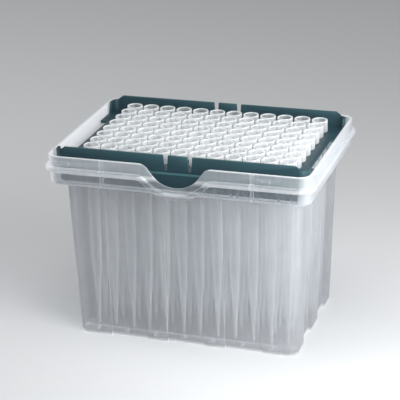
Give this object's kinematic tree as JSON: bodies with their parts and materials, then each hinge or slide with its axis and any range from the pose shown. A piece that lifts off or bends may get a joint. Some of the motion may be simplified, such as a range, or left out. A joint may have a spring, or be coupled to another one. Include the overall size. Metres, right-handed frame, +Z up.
{
  "type": "box of pipette tips",
  "caption": "Open translucent box with a dark teal carrier that holds a full grid of clear pipette tips, ready to be picked up by a pipette.",
  "frame": {"origin": "centre of the box's underside", "axes": "+Z up, towards the mouths of the tips; +X along the long side; -Y is the front, with the oval mould marks; the grid of tips sits 1.6 mm towards +X and 1.1 mm towards +Y of the centre"},
  "size_m": [0.135, 0.0992, 0.1012],
  "materials": {
    "box_plastic": "milky translucent moulded plastic, satin",
    "carrier_plastic": "dark teal moulded plastic, satin",
    "tip_plastic": "clear moulded plastic, glossy"
  },
  "bodies": {
    "root": {"base_box": "box_plastic", "tip_carrier": "carrier_plastic", "tips_column_01": "tip_plastic", "tips_column_02": "tip_plastic", "tips_column_03": "tip_plastic", "tips_column_04": "tip_plastic", "tips_column_05": "tip_plastic", "tips_column_06": "tip_plastic", "tips_column_07": "tip_plastic", "tips_column_08": "tip_plastic", "tips_column_09": "tip_plastic", "tips_column_10": "tip_plastic", "tips_column_11": "tip_plastic", "tips_column_12": "tip_plastic"}
  },
  "joints": []
}
